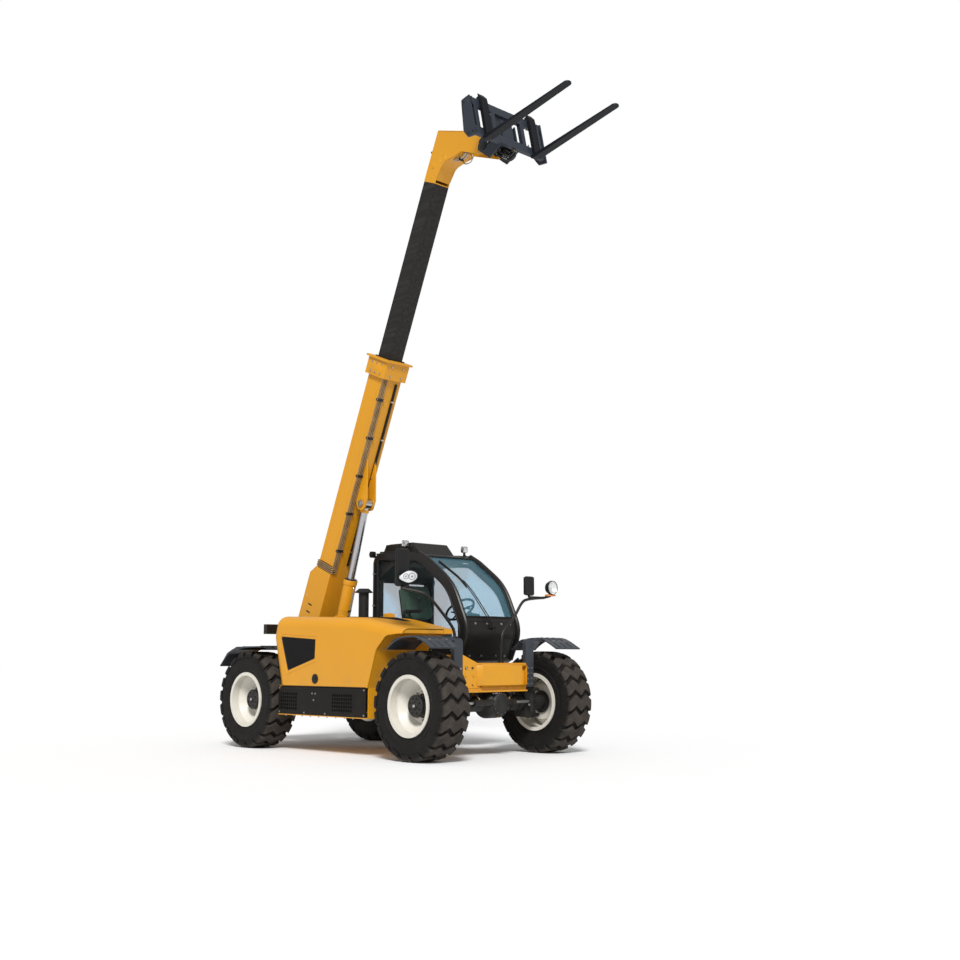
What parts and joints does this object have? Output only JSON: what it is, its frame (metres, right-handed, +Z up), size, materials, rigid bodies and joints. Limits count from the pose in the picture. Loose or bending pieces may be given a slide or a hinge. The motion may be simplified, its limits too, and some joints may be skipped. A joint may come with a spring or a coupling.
{
  "type": "telehandler",
  "caption": "Telescopic handler with its boom raised and run out, pallet forks, a side engine hood and a glazed cab on the left.",
  "frame": {"origin": "on the ground under the middle of the bounding box", "axes": "+X forwards, +Y to the left, +Z up"},
  "size_m": [5.6405, 2.4298, 7.5325],
  "materials": {
    "yellow_paint": "gloss",
    "black_paint": "satin",
    "grey_paint": "satin",
    "blue_grey_paint": "satin",
    "cream_paint": "satin",
    "pipe_paint": "satin",
    "tyre_rubber": "matte",
    "hose_rubber": "matte",
    "castings": "matte",
    "rod_chrome": "polished",
    "tinted_glass": "polished",
    "black_plastic": "matte",
    "seat_cloth": "matte"
  },
  "bodies": {
    "machine": {"chassis_frame": "yellow_paint", "front_axle": "castings", "rear_axle": "castings", "engine_block": "castings", "engine_cowl": "yellow_paint", "engine_side_panel": "black_paint", "counterweight": "yellow_paint", "hydraulic_tank": "black_paint", "cab_steps": "black_paint", "front_fenders": "black_plastic", "rear_fenders": "black_plastic", "cab_frame": "black_paint", "cab_roof_guard": "black_paint", "windscreen": "tinted_glass", "cab_windows": "tinted_glass", "seat": "seat_cloth", "cab_controls": "black_plastic", "mirrors": "black_plastic", "work_lamps": "black_plastic", "air_intake": "black_plastic", "tail_lamp_bar": "black_paint"},
    "steered_left": {"knuckle_left": "castings"},
    "steered_right": {"knuckle_right": "castings"},
    "wheel_fl": {"tyre_front_left": "tyre_rubber", "wheel_front_left": "cream_paint"},
    "wheel_fr": {"tyre_front_right": "tyre_rubber", "wheel_front_right": "cream_paint"},
    "wheel_rl": {"tyre_rear_left": "tyre_rubber", "wheel_rear_left": "cream_paint"},
    "wheel_rr": {"tyre_rear_right": "tyre_rubber", "wheel_rear_right": "cream_paint"},
    "door": {"cab_door": "black_paint", "cab_door_glass": "tinted_glass"},
    "engine_hood": {"hood": "yellow_paint", "hood_grilles": "black_plastic"},
    "boom": {"boom_outer": "yellow_paint", "boom_pipes": "pipe_paint"},
    "telescope": {"boom_inner": "grey_paint", "boom_head": "yellow_paint", "tilt_barrel": "black_paint"},
    "fork_carriage": {"carriage": "blue_grey_paint", "forks": "blue_grey_paint", "carriage_hoses": "hose_rubber"},
    "lift_barrel_body": {"lift_barrel": "yellow_paint"},
    "lift_rod_body": {"lift_rod": "rod_chrome"},
    "tilt_rod_body": {"tilt_rod": "rod_chrome"}
  },
  "joints": [
    {"name": "steer_left", "type": "hinge", "parent": "machine", "child": "steered_left", "pos_m": [1.02, 0.72, 0.5875], "axis": [0, 0, 1], "range_deg": [-35, 35]},
    {"name": "steer_right", "type": "hinge", "parent": "machine", "child": "steered_right", "pos_m": [1.02, -0.72, 0.5875], "axis": [0, 0, 1], "range_deg": [-35, 35]},
    {"name": "spin_front_left", "type": "hinge", "parent": "steered_left", "child": "wheel_fl", "pos_m": [1.02, 0.975, 0.5875], "axis": [0, 1, 0], "continuous": true},
    {"name": "spin_front_right", "type": "hinge", "parent": "steered_right", "child": "wheel_fr", "pos_m": [1.02, -0.975, 0.5875], "axis": [0, 1, 0], "continuous": true},
    {"name": "spin_rear_left", "type": "hinge", "parent": "machine", "child": "wheel_rl", "pos_m": [-2.03, 0.975, 0.5875], "axis": [0, 1, 0], "continuous": true},
    {"name": "spin_rear_right", "type": "hinge", "parent": "machine", "child": "wheel_rr", "pos_m": [-2.03, -0.975, 0.5875], "axis": [0, 1, 0], "continuous": true},
    {"name": "cab_door_hinge", "type": "hinge", "parent": "machine", "child": "door", "pos_m": [-1.1075, 1.0623, 1.7], "axis": [0, 0, 1], "range_deg": [0, 80]},
    {"name": "hood_hinge", "type": "hinge", "parent": "machine", "child": "engine_hood", "pos_m": [-0.43, -0.456, 1.61], "axis": [-1, 0, 0], "range_deg": [0, 60]},
    {"name": "boom_lift", "type": "hinge", "parent": "machine", "child": "boom", "pos_m": [-2.1, -0.1, 1.27], "axis": [0, -1, 0], "range_deg": [-67.5, 0]},
    {"name": "boom_extend", "type": "slide", "parent": "boom", "child": "telescope", "axis": [0.3827, 0, 0.9239], "range_m": [-2.2, 0]},
    {"name": "carriage_tilt", "type": "hinge", "parent": "telescope", "child": "fork_carriage", "pos_m": [1.24007, -0.1, 7.04977], "axis": [0, -1, 0], "range_deg": [-50, 65]},
    {"name": "lift_cylinder", "type": "hinge", "parent": "machine", "child": "lift_barrel_body", "pos_m": [-1.72, -0.1, 0.75], "axis": [0, -1, 0], "range_deg": [-66.09, 0]},
    {"name": "lift_stroke", "type": "slide", "parent": "lift_barrel_body", "child": "lift_rod_body", "axis": [0.2874, 0, 0.9578], "range_m": [-0.7148, 0]},
    {"name": "tilt_stroke", "type": "slide", "parent": "telescope", "child": "tilt_rod_body", "axis": [0.9829, 0, 0.1839], "range_m": [-0.1988, 0.1532]}
  ],
  "couplings": [
    {"joint": "steer_right", "follows": "steer_left", "ratio": 1},
    {"joint": "lift_cylinder", "follows": "boom_lift", "ratio": 0.97842},
    {"joint": "lift_stroke", "follows": "boom_lift", "m_per_rad": 0.60593},
    {"joint": "tilt_stroke", "follows": "carriage_tilt", "m_per_rad": -0.17438}
  ]
}
